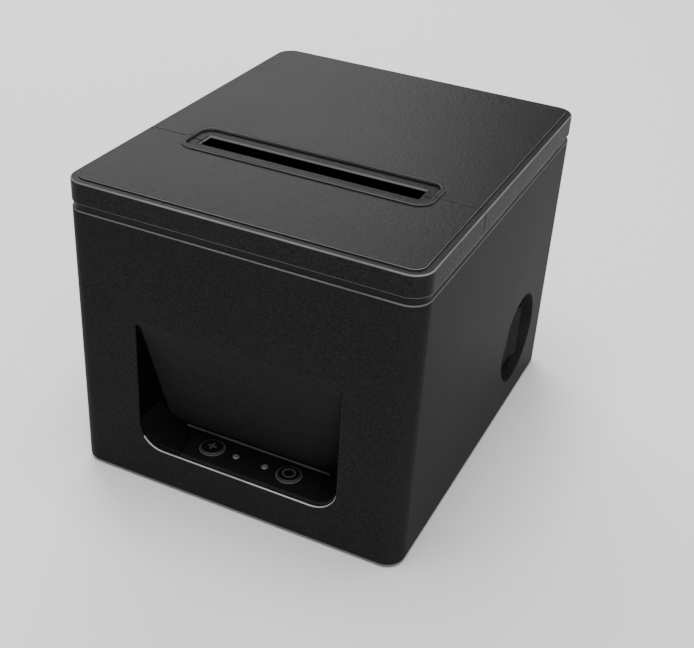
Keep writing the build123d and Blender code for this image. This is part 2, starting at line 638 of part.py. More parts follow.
with BuildPart() as head_pivot_pin:
    rod_x(-PLATE_OUT - 0.5, PLATE_OUT + 0.5, PIVOT_Y, PIVOT_Z, 1.5)
head_pivot_pin.part.label = "head_pivot_pin"
export_step(head_pivot_pin.part, "parts/head_pivot_pin.step")

spring_start = SINK_BACK + SPRING_GAP + 0.4
spring_length = BRACE_BACK - 0.4 - spring_start


def coil(origin, axis, radius, wire, pitch, height):
    """Round-wire helical spring that starts at a point and runs along an axis."""
    with BuildPart() as spring:
        with BuildLine():
            path = Helix(pitch=pitch, height=height, radius=radius, center=origin, direction=axis)
        with BuildSketch(Plane(origin=path @ 0, z_dir=path % 0)):
            Circle(wire)
        sweep(is_frenet=True)
    return spring.part


with BuildPart() as head_springs:
    for x in (-SPRING_X, SPRING_X):
        start = HEAD_PLANE.from_local_coords((x, 1, spring_start))
        add(coil(start, HEAD_PLANE.z_dir, 3.0, 0.35, 2.2, spring_length))
head_springs.part.label = "head_springs"
export_step(head_springs.part, "parts/head_springs.step")

with BuildPart() as head_ribbon:
    with BuildSketch(Plane.YZ.offset(-16)):
        with BuildLine():
            Spline((-31, 72), (-33, 54), (-26.5, 24), (-26.5, BOARD_TOP + 3.8))
        trace(line_width=0.3)
    extrude(amount=32)
head_ribbon.part.label = "head_ribbon"
export_step(head_ribbon.part, "parts/head_ribbon.step")

# ---- Mechanism frame: two side plates, braces and outward tabs -------------------------
SIDE_PLATE = [
    (-66, 60.5),
    (-6, 60.5),
    (-6, 89),
    (PLATEN_Y + 5.2, 93),
    (PLATEN_Y + 4.2, PLATEN_Z - 4),
    (PLATEN_Y - 4.2, PLATEN_Z - 4),
    (PLATEN_Y - 6.4, 96),
    (-29, 98),
    (-66, 98),
]

with BuildPart() as mech_frame:
    for x0, x1 in ((PLATE_IN, PLATE_OUT), (-PLATE_OUT, -PLATE_IN)):
        plate_x(x0, x1, SIDE_PLATE)
        rod_x(x0, x1, LATCH_Y, LATCH_Z, 2.1, Mode.SUBTRACT)
        rod_x(x0, x1, PIVOT_Y, PIVOT_Z, 1.5, Mode.SUBTRACT)
    slab(-PLATE_IN, PLATE_IN, -66, -44, 60.5, 62)
    head_slab(-PLATE_IN, 24.5, -5, 4, BRACE_BACK, BRACE_BACK + 1.5)
    slab(21, 24.5, -48, -39.6, 61, 83)
    rod_x(PLATE_IN, PLATE_OUT, IDLER_Y, IDLER_Z, 1.5, Mode.SUBTRACT)
    rod_x(PLATE_IN, PLATE_OUT, MOTOR_Y, MOTOR_Z, 4.1, Mode.SUBTRACT)
    pair_slab(PLATE_OUT, 60, -59, -51, 60.5, 62)
    pair_slab(PLATE_OUT, 60, -41, -33, 60.5, 62)
mech_frame.part.label = "mech_frame"
export_step(mech_frame.part, "parts/mech_frame.step")

# ---- Cutter ---------------------------------------------------------------------------
CUTTER_FRONT = -70.0
TAB_X = WHEEL_X - 8.4
RACK_X = WHEEL_X + GEAR_MODULE * RACK_TEETH / 2
worm_y = WHEEL_Y - GEAR_MODULE * WHEEL_TEETH / 2 - WORM_REACH
CUTTER_BOLTS = [(x, y) for x in (-44, 44) for y in (-66, -34)]

with BuildPart() as cutter_frame:
    slab(-46, 46, CUTTER_FRONT, -28.6, 98, 99.2)
    pair_slab(42, 46, CUTTER_FRONT, -29.5, 99.2, 102)
    slab(TAB_X - 1, TAB_X, CUTTER_FRONT, WHEEL_Y - 4, 85, 98)
    rod_z(WHEEL_X, WHEEL_Y, 97, 100, 1.6, Mode.SUBTRACT)
    rod_x(TAB_X - 2, TAB_X + 1, worm_y, WORM_Z, 2.6, Mode.SUBTRACT)
    for x, y in CUTTER_BOLTS:
        rod_z(x, y, 98, 102, 1.1, Mode.SUBTRACT)
cutter_frame.part.label = "cutter_frame"
export_step(cutter_frame.part, "parts/cutter_frame.step")

with BuildPart() as cutter_cover:
    slab(-46, 46, CUTTER_FRONT, -30, 102, 103)
    rod_z(WHEEL_X, WHEEL_Y, 101, 104, 1.6, Mode.SUBTRACT)
    for x, y in CUTTER_BOLTS:
        rod_z(x, y, 101, 104, 1.4, Mode.SUBTRACT)
    for x in (-30, 10, 30):
        slab(x - 5, x + 5, -60, -40, 101, 104, Mode.SUBTRACT)
cutter_cover.part.label = "cutter_cover"
export_step(cutter_cover.part, "parts/cutter_cover.step")

with BuildPart() as cutter_screws:
    for x, y in CUTTER_BOLTS:
        screw_down(x, y, 103, 2.2, 1.0, 4.6)
cutter_screws.part.label = "cutter_screws"
export_step(cutter_screws.part, "parts/cutter_screws.step")

rack_step = pi * GEAR_MODULE

with BuildPart() as moving_blade:
    with BuildSketch(Plane.XY.offset(BLADE_BOTTOM)):
        Polygon((-41.5, -68), (41.5, -68), (41.5, -28), (0, -30.4), (-41.5, -28), align=None)
    extrude(amount=BLADE_TOP - BLADE_BOTTOM)
    notch_side = RACK_X + 0.9 * GEAR_MODULE
    slab(WHEEL_X - 7.2, notch_side, WHEEL_Y - 15.5, WHEEL_Y + 7.5, 99, 102, Mode.SUBTRACT)
    with BuildSketch(Plane.XY.offset(BLADE_BOTTOM)):
        for count in range(-5, 4):
            with Locations(Location((RACK_X, WHEEL_Y + (count - 0.5) * rack_step, 0), (0, 0, 180))):
                tooth()
    extrude(amount=BLADE_TOP - BLADE_BOTTOM)
moving_blade.part.label = "moving_blade"
export_step(moving_blade.part, "parts/moving_blade.step")

with BuildPart() as cutter_wheel:
    rod_z(WHEEL_X, WHEEL_Y, WORM_Z - 4, 102.7, 1.5)
    spur(Plane.XY.offset(WORM_Z - 2), WHEEL_X, WHEEL_Y, WHEEL_TEETH, 90, 4.0)
    rod_z(WHEEL_X, WHEEL_Y, WORM_Z, 97.6, 4.0)
    spur(Plane.XY.offset(99.6), WHEEL_X, WHEEL_Y, RACK_TEETH, 0, 2.0)
cutter_wheel.part.label = "cutter_wheel"
export_step(cutter_wheel.part, "parts/cutter_wheel.step")

with BuildPart() as cutter_motor:
    rod_x(TAB_X - 24, TAB_X - 1, worm_y, WORM_Z, 6.0)
    fillet(cutter_motor.edges().filter_by(GeomType.CIRCLE), 0.8)
    slab(TAB_X - 26, TAB_X - 24, worm_y - 3, worm_y + 3, WORM_Z - 4, WORM_Z + 4)
    rod_x(TAB_X - 8, TAB_X, worm_y, WORM_Z, 1.05, Mode.SUBTRACT)
cutter_motor.part.label = "cutter_motor"
export_step(cutter_motor.part, "parts/cutter_motor.step")

# the thread starts on top of the worm and passes the wheel midway between two teeth
WORM_LENGTH = 4 * rack_step
WORM_START = WHEEL_X - WORM_LENGTH / 2 - rack_step / 4

with BuildPart() as cutter_worm:
    rod_x(-16.6, -5.6, worm_y, WORM_Z, WORM_CORE)
    rod_x(TAB_X - 7.5, -5, worm_y, WORM_Z, 1.0)
    worm_end = (WORM_START, worm_y, WORM_Z)
    add(coil(worm_end, (1, 0, 0), WORM_CORE + 0.2, 0.5, rack_step, WORM_LENGTH))
cutter_worm.part.label = "cutter_worm"
export_step(cutter_worm.part, "parts/cutter_worm.step")

# ---- Latch and release ------------------------------------------------------------------
HOOK = [
    (LATCH_Y + 2, LATCH_Z),
    (LATCH_Y + 6.6, LATCH_Z + 6),
    (LATCH_Y + 6.6, LATCH_Z + 21.5),
    (LATCH_Y + 2.4, LATCH_Z + 21.5),
    (LATCH_Y + 2.2, LATCH_Z + 19.2),
    (LATCH_Y + 3.5, LATCH_Z + 18),
    (LATCH_Y + 3.5, LATCH_Z + 8),
    (LATCH_Y - 2, LATCH_Z + 2),
]
LEFT_HOOK = (-50.5, -49.0)
RIGHT_HOOK = (53.6, 55.1)

with BuildPart() as latch_shaft:
    rod_x(-58, 57, LATCH_Y, LATCH_Z, 2.0)
latch_shaft.part.label = "latch_shaft"
export_step(latch_shaft.part, "parts/latch_shaft.step")

with BuildPart() as latch_hooks:
    for x0, x1 in (LEFT_HOOK, RIGHT_HOOK):
        rod_x(x0, x1, LATCH_Y, LATCH_Z, 4.0)
        plate_x(x0, x1, HOOK)
    # forked arm on the left hook, driven by the release link
    slab(*LEFT_HOOK, LATCH_Y, LATCH_Y + LATCH_ARM + 4, LATCH_Z - 3, LATCH_Z + 3)
    fork = LATCH_Y + LATCH_ARM
    slab(*LEFT_HOOK, fork - 2.2, fork + 2, LATCH_Z - 1.6, LATCH_Z + 1.6, Mode.SUBTRACT)
    rod_x(-60, 60, LATCH_Y, LATCH_Z, 2.0, Mode.SUBTRACT)
latch_hooks.part.label = "latch_hooks"
export_step(latch_hooks.part, "parts/latch_hooks.step")

with BuildPart() as latch_spring:
    add(coil((-57.3, LATCH_Y, LATCH_Z), (1, 0, 0), 2.7, 0.35, 0.95, 3.8))
latch_spring.part.label = "latch_spring"
export_step(latch_spring.part, "parts/latch_spring.step")

LINK_OUT = -53.0
LINK_IN = -51.5
PANEL_TOP = RECESS_BOTTOM + PANEL_RISE

with BuildPart() as release_link:
    plate_x(LINK_OUT, LINK_IN, [(-70, 6), (-62, 6), (-4, 74), (-4, 80.5), (-11, 80.5), (-11, 76)])
    rod_x(LINK_IN, -48.6, LATCH_Y + LATCH_ARM, LATCH_Z, 1.2)
    slab(LINK_OUT, -30, -70, -62, 6, 8.4)
    slab(-36, -30, -70, -62, 8.4, 14.2)
release_link.part.label = "release_link"
export_step(release_link.part, "parts/release_link.step")

with BuildPart() as release_key:
    add(key_zone(KEY_GAP))
    add(recess_block(1.6), mode=Mode.INTERSECT)
    add(recess_block(0, PANEL_RISE), mode=Mode.SUBTRACT)
    # small raised arrow
    with BuildSketch(Plane.XY.offset(PANEL_TOP - 0.3)):
        Polygon((-30.2, FRONT + 2.6), (-27.4, FRONT + 2.6), (-28.8, FRONT + 4.6), align=None)
    extrude(amount=0.5)
release_key.part.label = "release_key"
export_step(release_key.part, "parts/release_key.step")

# ---- Control panel, buttons and light pipes ----------------------------------------------
floor_half = RECESS_WIDTH / 2 - RECESS_LOW_CORNER
floor_rear = FRONT + RECESS_DEPTH - 0.5
corner_top = RECESS_BOTTOM + RECESS_LOW_CORNER - 1

with BuildPart() as control_panel:
    add(recess_block(0, 0, FRONT + 0.9))
    add(recess_block(0, PANEL_RISE), mode=Mode.SUBTRACT)
    # keep the floor and its right corner only
    slab(-60, RECESS_X + floor_half, FRONT, floor_rear + 5, PANEL_TOP, RECESS_TOP + 5, Mode.SUBTRACT)
    slab(-60, 60, FRONT, floor_rear + 5, corner_top, RECESS_TOP + 5, Mode.SUBTRACT)
    slab(-60, 60, floor_rear, floor_rear + 5, RECESS_BOTTOM - 1, RECESS_TOP + 5, Mode.SUBTRACT)
    top_edges = control_panel.edges().filter_by(Axis.X)
    fillet(top_edges.filter_by_position(Axis.Z, PANEL_TOP - 0.01, PANEL_TOP + 0.01).sort_by(Axis.Y)[0], 0.5)
    # rounded bead along the rear edge
    rod_x(RECESS_X - floor_half - 3, RECESS_X + floor_half, floor_rear - PANEL_BEAD, PANEL_TOP, PANEL_BEAD)
    rod_z(KEY_X, KEY_Y, RECESS_BOTTOM - 1, 40, KEY_RADIUS, Mode.SUBTRACT)
    slab(-60, RECESS_X - floor_half - 3, FRONT, floor_rear + 5, RECESS_BOTTOM - 1, 40, Mode.SUBTRACT)
    for x in BUTTON_SPOTS:
        rod_z(x, CONTROL_Y, RECESS_BOTTOM, PANEL_TOP + 0.5, WELL_RADIUS)
    fillet(control_panel.edges().filter_by_position(Axis.Z, PANEL_TOP + 0.49, PANEL_TOP + 0.51), 0.3)
    for x in BUTTON_SPOTS:
        rod_z(x, CONTROL_Y, RECESS_BOTTOM, PANEL_TOP + 1, CAP_RADIUS + 0.25, Mode.SUBTRACT)
    for x in LED_SPOTS:
        rod_z(x, CONTROL_Y, RECESS_BOTTOM, PANEL_TOP + 1, PIPE_RADIUS + 0.05, Mode.SUBTRACT)
control_panel.part.label = "control_panel"
export_step(control_panel.part, "parts/control_panel.step")

BUTTON_TOP = PANEL_TOP + 1.0

with BuildPart() as feed_button:
    rod_z(BUTTON_SPOTS[0], CONTROL_Y, RECESS_BOTTOM + 1.1, BUTTON_TOP, CAP_RADIUS)
    fillet(feed_button.edges().group_by(Axis.Z)[-1], 0.5)
    rod_z(BUTTON_SPOTS[0], CONTROL_Y, 11.5, RECESS_BOTTOM + 1.1, 2.0)
    for size in ((3.4, 0.9), (0.9, 3.4)):
        with Locations((BUTTON_SPOTS[0], CONTROL_Y, BUTTON_TOP)):
            Box(size[0], size[1], 0.25, align=UP_ALIGN)
feed_button.part.label = "feed_button"
export_step(feed_button.part, "parts/feed_button.step")

with BuildPart() as power_button:
    rod_z(BUTTON_SPOTS[1], CONTROL_Y, RECESS_BOTTOM + 1.1, BUTTON_TOP, CAP_RADIUS)
    fillet(power_button.edges().group_by(Axis.Z)[-1], 0.5)
    rod_z(BUTTON_SPOTS[1], CONTROL_Y, 11.5, RECESS_BOTTOM + 1.1, 2.0)
    with BuildSketch(Plane.XY.offset(BUTTON_TOP)):
        with Locations((BUTTON_SPOTS[1], CONTROL_Y)):
            Circle(2.5)
            Circle(1.8, mode=Mode.SUBTRACT)
    extrude(amount=0.25)
power_button.part.label = "power_button"
export_step(power_button.part, "parts/power_button.step")

with BuildPart() as light_pipes:
    for x in LED_SPOTS:
        rod_z(x, CONTROL_Y, 12.4, PANEL_TOP + 0.25, PIPE_RADIUS)
    fillet(light_pipes.edges().group_by(Axis.Z)[-1], 0.3)
light_pipes.part.label = "light_pipes"
export_step(light_pipes.part, "parts/light_pipes.step")

BUTTON_BOARD_TOP = BUTTON_BOARD_Z + 1.2

with BuildPart() as button_board:
    slab(-24, 34, CONTROL_Y - 6.2, CONTROL_Y + 9, BUTTON_BOARD_Z, BUTTON_BOARD_TOP)
button_board.part.label = "button_board"
export_step(button_board.part, "parts/button_board.step")

with BuildPart() as tact_switches:
    for x in BUTTON_SPOTS:
        slab(x - 3, x + 3, CONTROL_Y - 3, CONTROL_Y + 3, BUTTON_BOARD_TOP, BUTTON_BOARD_TOP + 2.6)
        rod_z(x, CONTROL_Y, BUTTON_BOARD_TOP + 2.6, 10.5, 1.5)
tact_switches.part.label = "tact_switches"
export_step(tact_switches.part, "parts/tact_switches.step")

with BuildPart() as leds:
    for x in LED_SPOTS:
        rod_z(x, CONTROL_Y, BUTTON_BOARD_TOP, 12.0, 1.5)
    fillet(leds.edges().group_by(Axis.Z)[-1], 1.2)
leds.part.label = "leds"
export_step(leds.part, "parts/leds.step")

# ---- Rocker switch -------------------------------------------------------------------------
DISH_FLOOR = WIDTH / 2 - DISH_DEPTH
ROCKER_HALF_Y = 7.0
ROCKER_HALF_Z = 11.25
ROCKER_TILT = 9.0
ROCKER_X = DISH_FLOOR - 0.6
PIVOT_RADIUS = 1.0
SWITCH_REAR = 46.5

with BuildPart() as switch_body:
    slab(DISH_FLOOR, DISH_FLOOR + 0.9, DISH_Y - 9.6, DISH_Y + 9.6, DISH_Z - 13.4, DISH_Z + 13.4)
    fillet(switch_body.edges().group_by(Axis.X)[-1], 0.4)
    with Locations((SWITCH_REAR, DISH_Y, DISH_Z)):
        Box(DISH_FLOOR - SWITCH_REAR, 2 * WINDOW_Y - 0.4, 2 * WINDOW_Z - 0.4, align=(LOW, CENTER, CENTER))
    with Locations((52, DISH_Y, DISH_Z)):
        Box(10, 15.2, 23.2, align=(LOW, CENTER, CENTER), mode=Mode.SUBTRACT)
    rod_z(ROCKER_X, DISH_Y, DISH_Z - 12.3, DISH_Z + 12.3, PIVOT_RADIUS + 0.05, Mode.SUBTRACT)
    for z in (-8, 0, 8):
        with Locations((SWITCH_REAR, DISH_Y, DISH_Z + z)):
            Box(2.3, 4.8, 0.8, align=(Align.MAX, CENTER, CENTER))
switch_body.part.label = "switch_body"
export_step(switch_body.part, "parts/switch_body.step")

rocker_lean = Vector(cos(radians(-ROCKER_TILT)), sin(radians(-ROCKER_TILT)), 0)
rocker_foot = (ROCKER_X, DISH_Y, DISH_Z - ROCKER_HALF_Z)
ROCKER_PLANE = Plane(origin=rocker_foot, x_dir=rocker_lean, z_dir=(0, 0, 1))

with BuildPart() as switch_rocker:
    with BuildSketch(ROCKER_PLANE):
        Polygon(
            (-4.5, -2.5),
            (-1.5, -ROCKER_HALF_Y),
            (2.5, -ROCKER_HALF_Y),
            (1.6, 0),
            (2.5, ROCKER_HALF_Y),
            (-1.5, ROCKER_HALF_Y),
            (-4.5, 2.5),
            align=None,
        )
    extrude(amount=2 * ROCKER_HALF_Z)
    fillet(switch_rocker.edges().filter_by(Axis.Z).group_by(Axis.X)[-1], 0.4)
    rod_z(ROCKER_X, DISH_Y, DISH_Z - 12.2, DISH_Z + 12.2, PIVOT_RADIUS)
switch_rocker.part.label = "switch_rocker"
export_step(switch_rocker.part, "parts/switch_rocker.step")

# ---- Paper bucket -----------------------------------------------------------------------------
bucket_outer = BUCKET_RADIUS + BUCKET_WALL
LIP_TOP = 80.0
BUCKET_OUT = BUCKET_HALF + BUCKET_WALL

with BuildPart() as paper_bucket:
    with BuildSketch(Plane.YZ.offset(-BUCKET_OUT)):
        with BuildLine():
            Polyline(
                (BUCKET_Y - bucket_outer, BUCKET_Z),
                (BUCKET_Y - bucket_outer, LIP_TOP),
                (-7.5, LIP_TOP),
                (-7.5, DECK_TOP),
                (BUCKET_Y + bucket_outer, DECK_TOP),
                (BUCKET_Y + bucket_outer, BUCKET_Z),
            )
            ThreePointArc(
                (BUCKET_Y + bucket_outer, BUCKET_Z),
                (BUCKET_Y, BUCKET_Z - bucket_outer),
                (BUCKET_Y - bucket_outer, BUCKET_Z),
            )
        make_face()
    extrude(amount=2 * BUCKET_OUT)
    pair_slab(BUCKET_OUT, 59, -7.5, BUCKET_Y + bucket_outer, DECK_TOP - 1.5, DECK_TOP)
    with BuildSketch(Plane.YZ.offset(-BUCKET_HALF)):
        with BuildLine():
            Polyline(
                (BUCKET_Y - BUCKET_RADIUS, BUCKET_Z),
                (BUCKET_Y - BUCKET_RADIUS, DECK_TOP + 5),
                (BUCKET_Y + BUCKET_RADIUS, DECK_TOP + 5),
                (BUCKET_Y + BUCKET_RADIUS, BUCKET_Z),
            )
            ThreePointArc(
                (BUCKET_Y + BUCKET_RADIUS, BUCKET_Z),
                (BUCKET_Y, BUCKET_Z - BUCKET_RADIUS),
                (BUCKET_Y - BUCKET_RADIUS, BUCKET_Z),
            )
        make_face()
    extrude(amount=2 * BUCKET_HALF, mode=Mode.SUBTRACT)
paper_bucket.part.label = "paper_bucket"
export_step(paper_bucket.part, "parts/paper_bucket.step")

with BuildPart() as paper_sensor:
    slab(-BUCKET_OUT - 5, -BUCKET_OUT, 18, 30, 36, 46)
    rod_x(-BUCKET_OUT - 6, -BUCKET_OUT - 5, 24, 41, 2.0)
paper_sensor.part.label = "paper_sensor"
export_step(paper_sensor.part, "parts/paper_sensor.step")

# ---- Main board and what stands on it ------------------------------------------------------------
with BuildPart() as main_board:
    slab(-50, 50, -30, 60, BOARD_Z, BOARD_TOP)
    for x, y in BOARD_POSTS:
        rod_z(x, y, BOARD_Z, BOARD_TOP, 1.6, Mode.SUBTRACT)
main_board.part.label = "main_board"
export_step(main_board.part, "parts/main_board.step")

with BuildPart() as board_components:
    slab(-14, 0, -12, 2, BOARD_TOP, BOARD_TOP + 1.4)
    slab(6, 16, -8, 0, BOARD_TOP, BOARD_TOP + 1.2)
    slab(-20, 20, -29, -24, BOARD_TOP, BOARD_TOP + 3.6)
    for x in (24, 34):
        rod_z(x, -16, BOARD_TOP, BOARD_TOP + 10, 4.0)
    for x in (-36, -26):
        slab(x - 3, x + 3, -14, -8, BOARD_TOP, BOARD_TOP + 3)
    for y in (8, 14):
        slab(-3, 3, y, y + 3, BOARD_TOP, BOARD_TOP + 1)
board_components.part.label = "board_components"
export_step(board_components.part, "parts/board_components.step")

with BuildPart() as board_screws:
    for x, y in BOARD_POSTS:
        screw_down(x, y, BOARD_TOP, 2.6, 1.2, 5.6)
board_screws.part.label = "board_screws"
export_step(board_screws.part, "parts/board_screws.step")

with BuildPart() as buzzer:
    rod_z(40, 4, BOARD_TOP, BOARD_TOP + 6, 6)
    rod_z(40, 4, BOARD_TOP + 4, BOARD_TOP + 6, 1, Mode.SUBTRACT)
buzzer.part.label = "buzzer"
export_step(buzzer.part, "parts/buzzer.step")

# ---- Rear ports -------------------------------------------------------------------------------------
DC_X = 34.0
USB_X = 13.0
LAN_X = -9.0
DRAWER_X = -33.0


def port_shell(x, width, height, mouth_width, mouth_height, depth):
    """Socket housing on the board with its mouth at the rear face."""
    slab(x - width / 2, x + width / 2, PORT_FACE - depth, PORT_FACE, BOARD_TOP, BOARD_TOP + height)
    low = BOARD_TOP + (height - mouth_height) / 2
    half = mouth_width / 2
    slab(x - half, x + half, PORT_FACE - 10, PORT_FACE, low, low + mouth_height, Mode.SUBTRACT)


with BuildPart() as dc_inlet:
    slab(DC_X - 7, DC_X + 7, PORT_FACE - 17, PORT_FACE, BOARD_TOP, BOARD_TOP + 13)
    rod_y(DC_X, BOARD_TOP + 6.5, PORT_FACE - 10, PORT_FACE, 5.2, Mode.SUBTRACT)
    for x, z in ((-2.4, 5.4), (2.4, 5.4), (0, 8.8)):
        rod_y(DC_X + x, BOARD_TOP + z, PORT_FACE - 10, PORT_FACE - 3, 0.6)
dc_inlet.part.label = "dc_inlet"
export_step(dc_inlet.part, "parts/dc_inlet.step")

with BuildPart() as usb_port:
    port_shell(USB_X, 12.0, 11.0, 8.6, 7.8, 15)
    slab(USB_X - 2.8, USB_X + 2.8, PORT_FACE - 10, PORT_FACE - 1.5, BOARD_TOP + 3.9, BOARD_TOP + 7.1)
usb_port.part.label = "usb_port"
export_step(usb_port.part, "parts/usb_port.step")

with BuildPart() as network_port:
    port_shell(LAN_X, 16.0, 13.4, 11.8, 7.0, 16)
    slab(LAN_X - 3, LAN_X + 3, PORT_FACE - 8, PORT_FACE, BOARD_TOP + 2, BOARD_TOP + 4, Mode.SUBTRACT)
network_port.part.label = "network_port"
export_step(network_port.part, "parts/network_port.step")

with BuildPart() as drawer_port:
    port_shell(DRAWER_X, 13.4, 12.8, 9.8, 6.8, 16)
    slab(DRAWER_X - 2, DRAWER_X + 2, PORT_FACE - 8, PORT_FACE, BOARD_TOP + 1.8, BOARD_TOP + 4, Mode.SUBTRACT)
drawer_port.part.label = "drawer_port"
export_step(drawer_port.part, "parts/drawer_port.step")

PORT_SIZES = ((DC_X, 14, 13), (USB_X, 12, 11), (LAN_X, 16, 13.4), (DRAWER_X, 13.4, 12.8))
panel_half = PORTS_HALF - 0.2

with BuildPart() as rear_panel:
    slab(-panel_half, panel_half, REAR - WALL + 0.05, PORT_FACE, PORTS_LOW + 0.2, PORTS_HIGH - 0.2)
    for x, width, height in PORT_SIZES:
        half = width / 2 + 0.15
        slab(x - half, x + half, REAR - 5, REAR, BOARD_TOP - 0.15, BOARD_TOP + height + 0.15, Mode.SUBTRACT)
rear_panel.part.label = "rear_panel"
export_step(rear_panel.part, "parts/rear_panel.step")
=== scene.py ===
import json
from math import cos, radians, sin

import bmesh
import bpy
from mathutils import Matrix, Vector


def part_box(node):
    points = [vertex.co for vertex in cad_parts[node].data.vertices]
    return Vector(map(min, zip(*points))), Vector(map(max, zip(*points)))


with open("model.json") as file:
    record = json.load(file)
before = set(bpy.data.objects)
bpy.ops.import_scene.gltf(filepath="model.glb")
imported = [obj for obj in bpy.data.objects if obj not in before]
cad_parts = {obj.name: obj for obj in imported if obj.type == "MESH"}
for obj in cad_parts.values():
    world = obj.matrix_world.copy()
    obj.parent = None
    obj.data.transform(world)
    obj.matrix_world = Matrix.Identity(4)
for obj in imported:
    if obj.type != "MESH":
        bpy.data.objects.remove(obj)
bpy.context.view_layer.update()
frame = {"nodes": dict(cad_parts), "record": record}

# Receipt printer in charcoal plastic on a pale studio floor. Sizes are in metres.
nodes = frame["nodes"]
MM = 0.001
# pitch of the stripe pattern at a scale of one
STRIPE_PITCH = 0.314
# soft border inside a painted range
SOFT_BORDER = 0.06 * MM

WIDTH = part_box("main_casing")[1][0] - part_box("main_casing")[0][0]


# ---- Node material helpers ---------------------------------------------------------
class Paint:
    """A node material under construction, with short ways to add its nodes."""

    def __init__(self, name):
        self.mat = bpy.data.materials.new(name)
        self.mat.use_nodes = True
        self.tree = self.mat.node_tree
        self.shader = self.tree.nodes["Principled BSDF"]
        self.coords = self.tree.nodes.new("ShaderNodeTexCoord").outputs["Object"]
        self.height = None

    def link(self, source, target):
        self.tree.links.new(source, target)

    def set(self, **values):
        for key, value in values.items():
            self.shader.inputs[key.replace("_", " ")].default_value = value
        return self

    def stretch(self, scale):
        """Object coordinates scaled along each axis."""
        mapping = self.tree.nodes.new("ShaderNodeMapping")
        mapping.inputs["Scale"].default_value = scale
        self.link(self.coords, mapping.inputs["Vector"])
        return mapping.outputs["Vector"]

    def noise(self, size, detail=2.0, rough=0.5, vector=None):
        """Noise with features about size metres across."""
        noise = self.tree.nodes.new("ShaderNodeTexNoise")
        noise.inputs["Scale"].default_value = 1.0 / size
        noise.inputs["Detail"].default_value = detail
        noise.inputs["Roughness"].default_value = rough
        self.link(vector or self.coords, noise.inputs["Vector"])
        return noise.outputs["Fac"]

    def cells(self, size):
        """Distance to the nearest cell centre, cells about size metres across."""
        cells = self.tree.nodes.new("ShaderNodeTexVoronoi")
        cells.inputs["Scale"].default_value = 1.0 / size
        self.link(self.coords, cells.inputs["Vector"])
        return cells.outputs["Distance"]

    def waves(self, size, axis="X", distortion=0.0):
        """Even stripes of that pitch along an axis."""
        waves = self.tree.nodes.new("ShaderNodeTexWave")
        waves.bands_direction = axis
        waves.inputs["Scale"].default_value = STRIPE_PITCH / size
        waves.inputs["Distortion"].default_value = distortion
        self.link(self.coords, waves.inputs["Vector"])
        return waves.outputs["Fac"]

    def span(self, value, low, high, start=0.0, stop=1.0):
        """Value mapped from start..stop to low..high, held inside that range."""
        span = self.tree.nodes.new("ShaderNodeMapRange")
        span.inputs["From Min"].default_value = start
        span.inputs["From Max"].default_value = stop
        span.inputs["To Min"].default_value = low
        span.inputs["To Max"].default_value = high
        self.link(value, span.inputs["Value"])
        return span.outputs["Result"]

    def math(self, operation, a, b):
        """Sum, product or other operation on two values; b may be a number."""
        step = self.tree.nodes.new("ShaderNodeMath")
        step.operation = operation
        self.link(a, step.inputs[0])
        if isinstance(b, (int, float)):
            step.inputs[1].default_value = b
        else:
            self.link(b, step.inputs[1])
        return step.outputs["Value"]

    def mix(self, factor, a, b):
        """Colour between a and b, each a colour or a socket."""
        mix = self.tree.nodes.new("ShaderNodeMix")
        mix.data_type = "RGBA"
        self.link(factor, mix.inputs["Factor"])
        for value, socket in ((a, mix.inputs[6]), (b, mix.inputs[7])):
            if isinstance(value, tuple):
                socket.default_value = (*value, 1.0)
            else:
                self.link(value, socket)
        return mix.outputs[2]

    def within(self, bounds):
        """One inside every (axis, low, high) range in millimetres, zero outside."""
        split = self.tree.nodes.new("ShaderNodeSeparateXYZ")
        self.link(self.coords, split.inputs["Vector"])
        inside = None
        for axis, low, high in bounds:
            middle = self.math("SUBTRACT", split.outputs[axis], (low + high) / 2 * MM)
            half = (high - low) / 2 * MM
            part = self.span(self.math("ABSOLUTE", middle, 0.0), 1.0, 0.0, half - SOFT_BORDER, half)
            inside = part if inside is None else self.math("MULTIPLY", inside, part)
        return inside

    def paint_rim_highlights(self, tone, highlight_rims, patch):
        """Tone with a painted highlight on each rim range, stronger in some places than in others."""
        for grey, bounds in highlight_rims:
            # painted highlight: the rim range is mixed towards its grey, more strongly where the noise is
            # high
            highlight_mask = self.math("MULTIPLY", self.within(bounds), self.span(patch, 0.6, 1.0, 0.3, 0.7))
            tone = self.mix(highlight_mask, tone, (grey, grey, grey))
        return tone

    def colour(self, value):
        self.link(value, self.shader.inputs["Base Color"])

    def roughness(self, value):
        self.link(value, self.shader.inputs["Roughness"])

    def bump(self, value, depth):
        """Adds relief of that depth in metres, on top of any before it."""
        bump = self.tree.nodes.new("ShaderNodeBump")
        bump.inputs["Strength"].default_value = 1.0
        bump.inputs["Distance"].default_value = depth
        self.link(value, bump.inputs["Height"])
        if self.height is not None:
            self.link(self.height, bump.inputs["Normal"])
        self.height = bump.outputs["Normal"]
        self.link(self.height, self.shader.inputs["Normal"])


def shade(colour, factor):
    return tuple(channel * factor for channel in colour)


